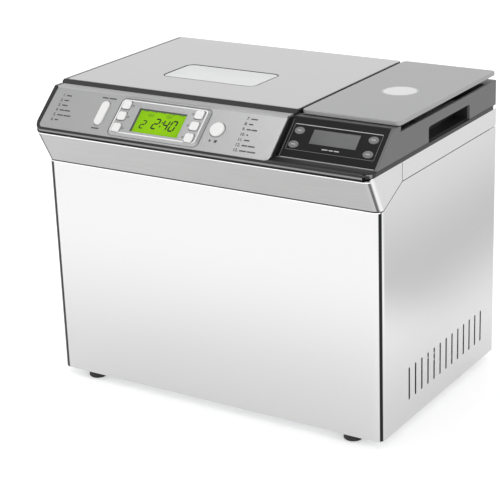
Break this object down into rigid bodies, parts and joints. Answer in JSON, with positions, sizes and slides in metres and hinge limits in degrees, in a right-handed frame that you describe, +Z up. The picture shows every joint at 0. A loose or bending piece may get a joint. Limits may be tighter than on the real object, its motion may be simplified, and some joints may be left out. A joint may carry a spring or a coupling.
{
  "type": "bread machine",
  "caption": "Twin-paddle bread machine with a horizontal baking pan, a windowed hinged lid, a sloping control panel and a kitchen scale on top beside the lid.",
  "frame": {"origin": "middle of the machine's footprint on the surface that it stands on", "axes": "+Z up, the front faces -Y, +X to the right seen from the front"},
  "size_m": [0.402, 0.28, 0.328],
  "materials": {
    "steel": "fine satin, nearly polished",
    "grained_steel": "brushed left to right",
    "zinc_steel": "zinc-plated sheet",
    "black_plastic": "fine spark-eroded texture",
    "screw_steel": "plated",
    "rubber": "moulded",
    "silver_plastic": "silver lacquer",
    "green_display": "backlit",
    "white_keys": "smooth",
    "circuit_board": "solder resist",
    "grey_plastic": "fine texture",
    "scale_panel": "printed",
    "scale_key_grey": "fine texture",
    "scale_display": "reflective display",
    "platform_metal": "satin",
    "white_badge": "smooth",
    "aluminium": "machined",
    "inner_plastic": "moulded",
    "window_glass": "clear, toughened",
    "chamber_steel": "aluminised sheet",
    "heater_metal": "heat-darkened sheath",
    "pan_coating": "dark non-stick coating",
    "bearing_bronze": "sintered",
    "pulley_plastic": "moulded nylon",
    "motor_paint": "stoved paint",
    "motor_steel": "turned",
    "motor_pulley": "turned"
  },
  "bodies": {
    "casing": {"base_tray": "zinc_steel", "body_wrap": "steel", "brow_cap": "grained_steel", "case_screws": "screw_steel", "chamber": "chamber_steel", "chamber_lamp": "window_glass", "control_board": "circuit_board", "control_faceplate": "silver_plastic", "cord_gland": "black_plastic", "coupling_belt": "rubber", "display_frame": "silver_plastic", "display_lcd": "green_display", "drive_bearings": "bearing_bronze", "drive_belt": "rubber", "drive_bracket": "zinc_steel", "feet": "rubber", "grip_cups": "black_plastic", "heating_element": "heater_metal", "hinge_pins": "screw_steel", "load_cell": "aluminium", "motor_housing": "motor_paint", "power_board": "circuit_board", "rear_panel": "zinc_steel", "scale_faceplate": "scale_panel", "scale_housing": "grey_plastic", "scale_lcd": "scale_display", "side_bands": "steel", "temperature_sensor": "chamber_steel", "upper_frame": "black_plastic"},
    "lid": {"lid_frame": "black_plastic", "lid_skin": "grained_steel", "lid_window": "window_glass", "lid_liner": "chamber_steel"},
    "pan": {"pan_body": "pan_coating"},
    "bail": {"pan_handle": "chamber_steel"},
    "pan_spindle_left": {"pan_shaft_left": "screw_steel"},
    "pan_spindle_right": {"pan_shaft_right": "screw_steel"},
    "paddle_left": {"paddle_left": "pan_coating"},
    "paddle_right": {"paddle_right": "pan_coating"},
    "drive_right": {"drive_shaft_right": "screw_steel", "twin_pulley": "pulley_plastic"},
    "drive_left": {"drive_shaft_left": "screw_steel", "left_pulley": "pulley_plastic"},
    "motor": {"motor_rotor": "motor_steel", "motor_pulley": "motor_pulley"},
    "rocker": {"menu_light_rocker": "white_keys"},
    "start_key": {"start_stop_key": "white_keys"},
    "platform": {"scale_platform": "platform_metal", "platform_badge": "white_badge", "platform_spider": "inner_plastic"},
    "key_upper_left": {"key_upper_left": "white_keys"},
    "key_upper_right": {"key_upper_right": "white_keys"},
    "key_middle_left": {"key_middle_left": "white_keys"},
    "key_middle_right": {"key_middle_right": "white_keys"},
    "key_lower_left": {"key_lower_left": "white_keys"},
    "key_lower_right": {"key_lower_right": "white_keys"},
    "scale_key_upper_left": {"scale_key_upper_left": "scale_key_grey"},
    "scale_key_upper_right": {"scale_key_upper_right": "scale_key_grey"},
    "scale_key_lower_left": {"scale_key_lower_left": "scale_key_grey"},
    "scale_key_lower_right": {"scale_key_lower_right": "scale_key_grey"}
  },
  "joints": [
    {"name": "lid_hinge", "type": "hinge", "parent": "casing", "child": "lid", "pos_m": [-0.05575, 0.1325, 0.3198], "axis": [-1, 0, 0], "range_deg": [0, 95]},
    {"name": "pan_lift", "type": "slide", "parent": "casing", "child": "pan", "axis": [0, 0, 1], "range_m": [0, 0.025]},
    {"name": "bail_hinge", "type": "hinge", "parent": "pan", "child": "bail", "pos_m": [-0.05575, 0.027, 0.191], "axis": [-1, 0, 0], "range_deg": [0, 155]},
    {"name": "drive_right_spin", "type": "hinge", "parent": "casing", "child": "drive_right", "pos_m": [-0.0075, 0.027, 0.05], "axis": [0, 0, 1], "continuous": true},
    {"name": "drive_left_spin", "type": "hinge", "parent": "casing", "child": "drive_left", "pos_m": [-0.104, 0.027, 0.05], "axis": [0, 0, 1], "continuous": true},
    {"name": "motor_spin", "type": "hinge", "parent": "casing", "child": "motor", "pos_m": [0.14, 0.027, 0.05], "axis": [0, 0, 1], "continuous": true},
    {"name": "pan_spindle_left_spin", "type": "hinge", "parent": "pan", "child": "pan_spindle_left", "pos_m": [-0.104, 0.027, 0.09], "axis": [0, 0, 1], "continuous": true},
    {"name": "pan_spindle_right_spin", "type": "hinge", "parent": "pan", "child": "pan_spindle_right", "pos_m": [-0.0075, 0.027, 0.09], "axis": [0, 0, 1], "continuous": true},
    {"name": "paddle_left_lift", "type": "slide", "parent": "pan_spindle_left", "child": "paddle_left", "axis": [0, 0, 1], "range_m": [0, 0.03]},
    {"name": "paddle_right_lift", "type": "slide", "parent": "pan_spindle_right", "child": "paddle_right", "axis": [0, 0, 1], "range_m": [0, 0.03]},
    {"name": "rocker_tilt", "type": "hinge", "parent": "casing", "child": "rocker", "pos_m": [-0.12445, -0.1159, 0.30451], "axis": [1, 0, 0], "range_deg": [-4, 4], "stiffness_Nm_per_rad": 0.05},
    {"name": "start_press", "type": "slide", "parent": "casing", "child": "start_key", "axis": [0, 0.66, -0.7513], "range_m": [0, 0.001], "stiffness_N_per_m": 800, "springref_m": -0.0005},
    {"name": "platform_press", "type": "slide", "parent": "casing", "child": "platform", "axis": [0, 0, -1], "range_m": [0, 0.0006], "stiffness_N_per_m": 15000, "springref_m": -0.0005},
    {"name": "key_upper_left_press", "type": "slide", "parent": "casing", "child": "key_upper_left", "axis": [0, 0.66, -0.7513], "range_m": [0, 0.001], "stiffness_N_per_m": 800, "springref_m": -0.0005},
    {"name": "key_upper_right_press", "type": "slide", "parent": "casing", "child": "key_upper_right", "axis": [0, 0.66, -0.7513], "range_m": [0, 0.001], "stiffness_N_per_m": 800, "springref_m": -0.0005},
    {"name": "key_middle_left_press", "type": "slide", "parent": "casing", "child": "key_middle_left", "axis": [0, 0.66, -0.7513], "range_m": [0, 0.001], "stiffness_N_per_m": 800, "springref_m": -0.0005},
    {"name": "key_middle_right_press", "type": "slide", "parent": "casing", "child": "key_middle_right", "axis": [0, 0.66, -0.7513], "range_m": [0, 0.001], "stiffness_N_per_m": 800, "springref_m": -0.0005},
    {"name": "key_lower_left_press", "type": "slide", "parent": "casing", "child": "key_lower_left", "axis": [0, 0.66, -0.7513], "range_m": [0, 0.001], "stiffness_N_per_m": 800, "springref_m": -0.0005},
    {"name": "key_lower_right_press", "type": "slide", "parent": "casing", "child": "key_lower_right", "axis": [0, 0.66, -0.7513], "range_m": [0, 0.001], "stiffness_N_per_m": 800, "springref_m": -0.0005},
    {"name": "scale_key_upper_left_press", "type": "slide", "parent": "casing", "child": "scale_key_upper_left", "axis": [0, 0.6769, -0.7361], "range_m": [0, 0.0005], "stiffness_N_per_m": 900, "springref_m": -0.0005},
    {"name": "scale_key_upper_right_press", "type": "slide", "parent": "casing", "child": "scale_key_upper_right", "axis": [0, 0.6769, -0.7361], "range_m": [0, 0.0005], "stiffness_N_per_m": 900, "springref_m": -0.0005},
    {"name": "scale_key_lower_left_press", "type": "slide", "parent": "casing", "child": "scale_key_lower_left", "axis": [0, 0.6769, -0.7361], "range_m": [0, 0.0005], "stiffness_N_per_m": 900, "springref_m": -0.0005},
    {"name": "scale_key_lower_right_press", "type": "slide", "parent": "casing", "child": "scale_key_lower_right", "axis": [0, 0.6769, -0.7361], "range_m": [0, 0.0005], "stiffness_N_per_m": 900, "springref_m": -0.0005}
  ],
  "couplings": [
    {"joint": "drive_left_spin", "follows": "drive_right_spin", "ratio": 1},
    {"joint": "motor_spin", "follows": "drive_right_spin", "ratio": 4},
    {"joint": "pan_spindle_left_spin", "follows": "drive_right_spin", "ratio": 1},
    {"joint": "pan_spindle_right_spin", "follows": "drive_right_spin", "ratio": 1}
  ]
}
